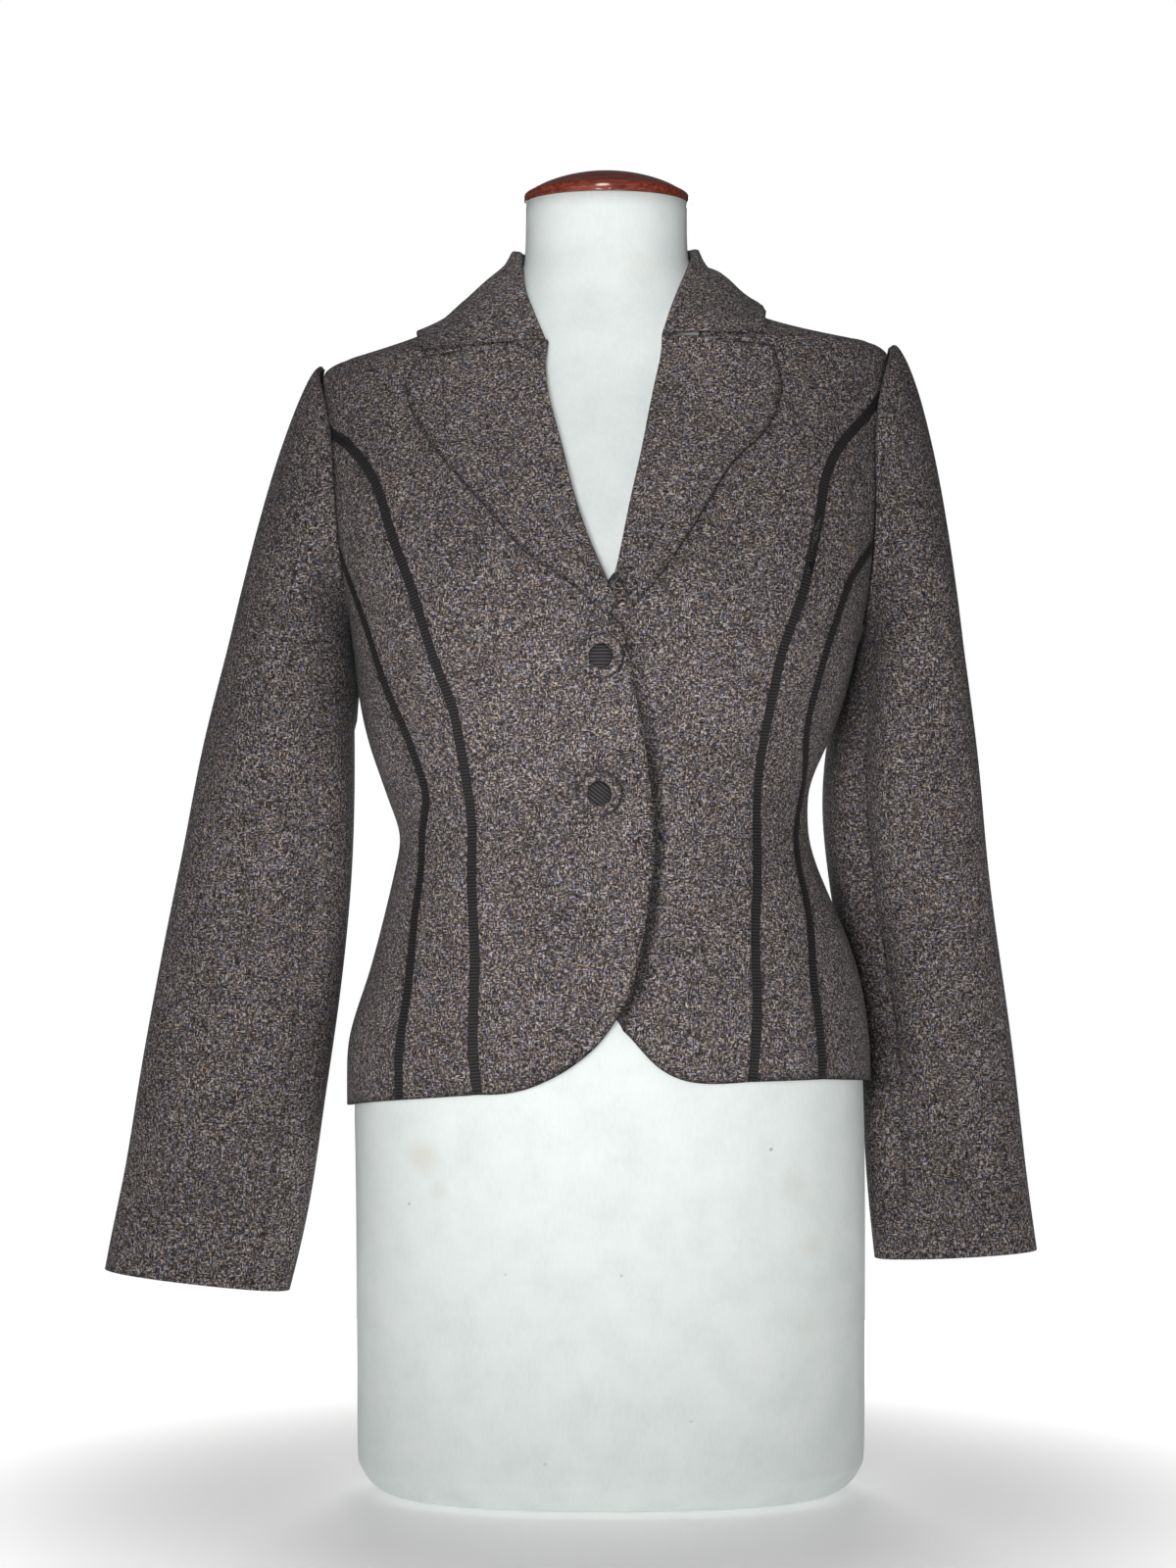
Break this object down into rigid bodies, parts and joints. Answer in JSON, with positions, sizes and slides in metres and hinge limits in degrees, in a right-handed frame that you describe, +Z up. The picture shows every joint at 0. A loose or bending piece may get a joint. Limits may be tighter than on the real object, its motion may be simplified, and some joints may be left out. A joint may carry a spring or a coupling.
{
  "type": "fitted tweed jacket on a dress form",
  "caption": "Short fitted tweed jacket with notched lapels, set-in sleeves and ribbon-trimmed seams, worn buttoned on a limbless dress form with a wooden neck cap.",
  "frame": {"origin": "middle of the dress form's flat underside", "axes": "+Z up, -Y the front of the jacket, +X the wearer's left"},
  "size_m": [0.6206, 0.2542, 0.8727],
  "materials": {
    "tweed": "salt-and-pepper woollen tweed, matt",
    "grosgrain": "ribbed dark ribbon, low sheen",
    "jersey": "pale grey knitted form cover, matt",
    "mahogany": "turned wood, gloss varnish"
  },
  "bodies": {
    "root": {"front_right": "tweed", "front_left": "tweed", "front_side_right": "tweed", "front_side_left": "tweed", "side_right": "tweed", "side_left": "tweed", "back_right": "tweed", "back_left": "tweed", "lapel_right": "tweed", "lapel_left": "tweed", "collar": "tweed", "sleeve_right_top": "tweed", "sleeve_right_under": "tweed", "sleeve_left_top": "tweed", "sleeve_left_under": "tweed", "ribbon_front_right": "grosgrain", "ribbon_front_left": "grosgrain", "ribbon_side_right": "grosgrain", "ribbon_side_left": "grosgrain", "button_upper_rim": "tweed", "button_upper_face": "grosgrain", "button_lower_rim": "tweed", "button_lower_face": "grosgrain", "form_torso": "jersey", "neck_cap": "mahogany"}
  },
  "joints": []
}
